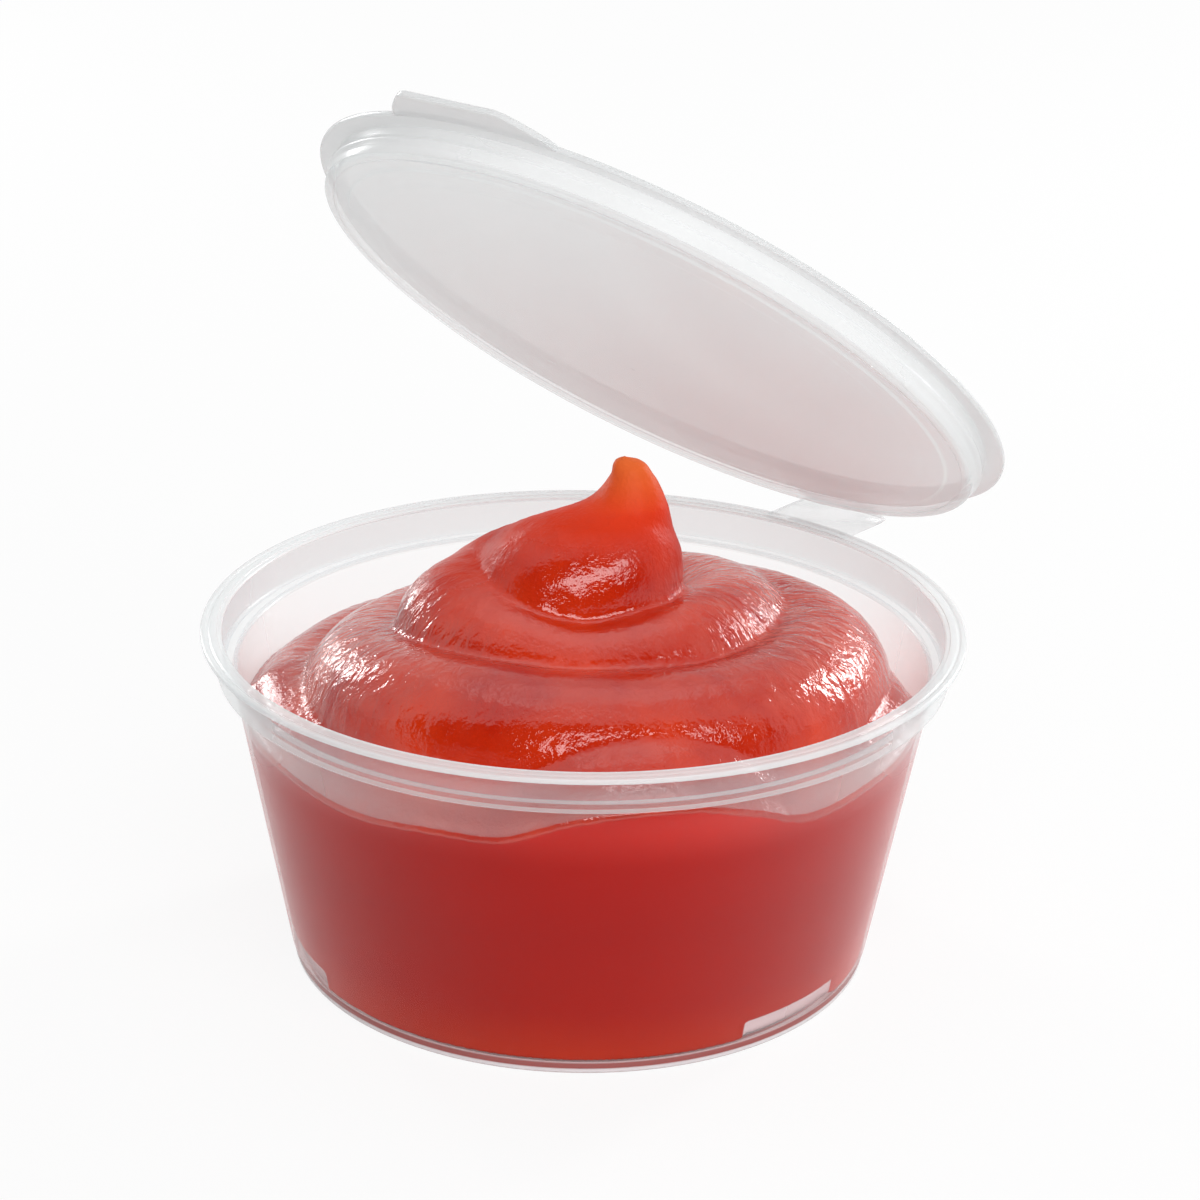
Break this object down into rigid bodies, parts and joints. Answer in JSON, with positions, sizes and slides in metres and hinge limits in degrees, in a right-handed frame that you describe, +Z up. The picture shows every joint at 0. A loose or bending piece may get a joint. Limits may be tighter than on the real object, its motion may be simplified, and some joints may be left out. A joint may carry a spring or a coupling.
{
  "type": "hinged sauce cup",
  "caption": "Small tapered cup for dips with a snap lid on a folding strap hinge, filled with sauce piped in a swirl.",
  "frame": {"origin": "centre of the foot ring, on the plane that the cup stands on", "axes": "+Z up along the cup's axis; +Y from the axis to the hinge strap, with both creases along X; -Y towards the thumb tab"},
  "size_m": [0.062, 0.0673, 0.0741],
  "materials": {
    "cup_plastic": "thin translucent polypropylene, smooth",
    "lid_plastic": "thin translucent polypropylene, slightly frosted",
    "sauce": "wet, glossy tomato sauce"
  },
  "bodies": {
    "cup_body": {"cup": "cup_plastic", "cup_hinge_leaf": "cup_plastic", "sauce_fill": "sauce", "sauce_swirl": "sauce"},
    "film_body": {"hinge_film": "lid_plastic"},
    "lid_body": {"lid": "lid_plastic", "lid_hinge_leaf": "lid_plastic", "thumb_tab": "lid_plastic"}
  },
  "joints": [
    {"name": "lid_open", "type": "hinge", "parent": "cup_body", "child": "film_body", "pos_m": [0, 0.0362, 0.02825], "axis": [-1, 0, 0], "range_deg": [0, 139]},
    {"name": "lid_close", "type": "hinge", "parent": "film_body", "child": "lid_body", "pos_m": [0, 0.03549, 0.02887], "axis": [-1, 0, 0], "range_deg": [-41, 0], "deforming": ["sauce_swirl"]}
  ]
}
